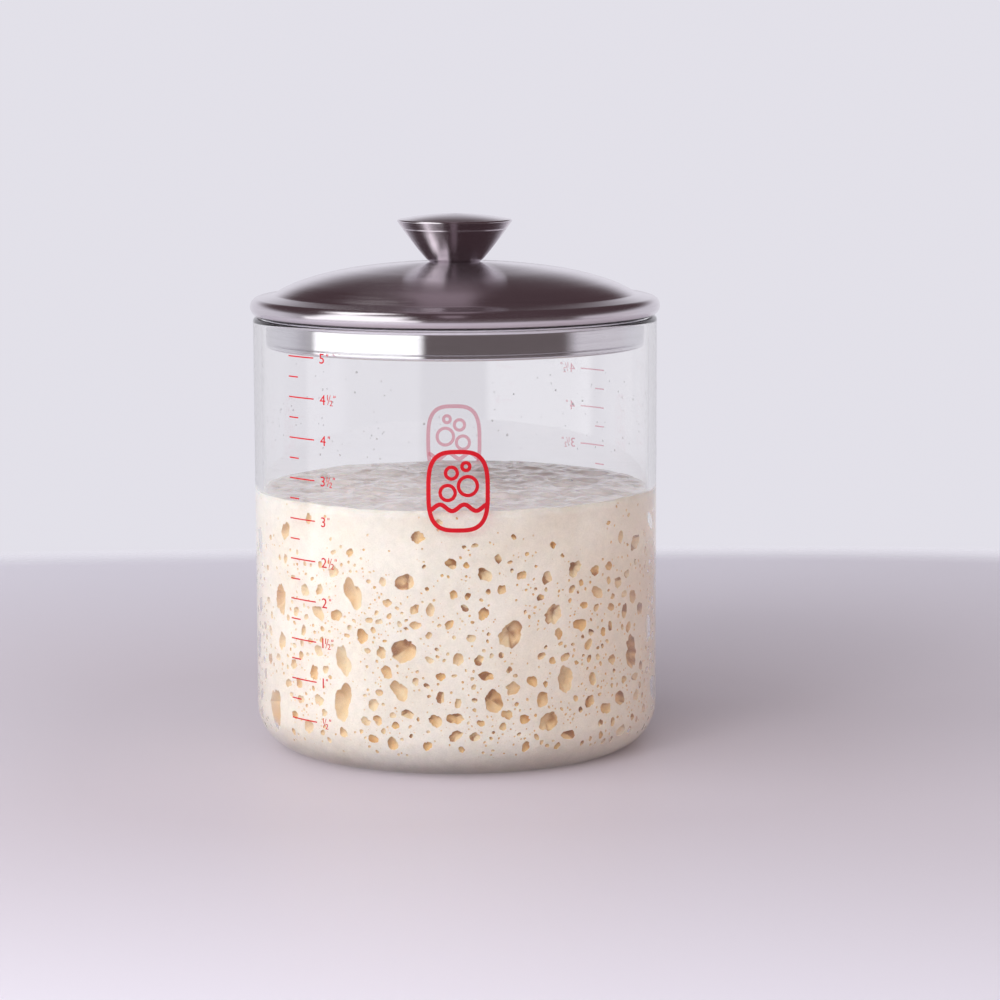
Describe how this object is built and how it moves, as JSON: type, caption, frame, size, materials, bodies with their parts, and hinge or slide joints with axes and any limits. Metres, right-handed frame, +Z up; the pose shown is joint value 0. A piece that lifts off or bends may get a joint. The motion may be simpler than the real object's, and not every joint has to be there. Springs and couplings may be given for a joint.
{
  "type": "sourdough starter jar",
  "caption": "Straight clear glass jar with a rounded heel, holding bubbly sourdough starter, under a lift-off domed steel lid with a rolled rim, a collar in the mouth and a flared knob.",
  "frame": {"origin": "centre of the base, on the surface that the jar stands on", "axes": "+Z up along the jar's axis, -Y towards the printed emblem, the jar's front"},
  "size_m": [0.1318, 0.1318, 0.172],
  "materials": {
    "clear_glass": "clear, fire-polished lip",
    "starter_dough": "wet, bubbly, cream",
    "brushed_steel": "brushed round the axis",
    "satin_steel": "smooth satin",
    "plated_steel": "zinc plated, bright",
    "red_print": "fired enamel print"
  },
  "bodies": {
    "jar": {"jar_glass": "clear_glass", "starter": "starter_dough"},
    "lid": {"lid_dome": "brushed_steel", "lid_collar": "satin_steel", "knob": "brushed_steel", "knob_screw": "plated_steel", "screw_washer": "plated_steel"}
  },
  "joints": [
    {"name": "lid_lift", "type": "slide", "parent": "jar", "child": "lid", "axis": [0, 0, 1], "range_m": [0, 0.06]}
  ]
}
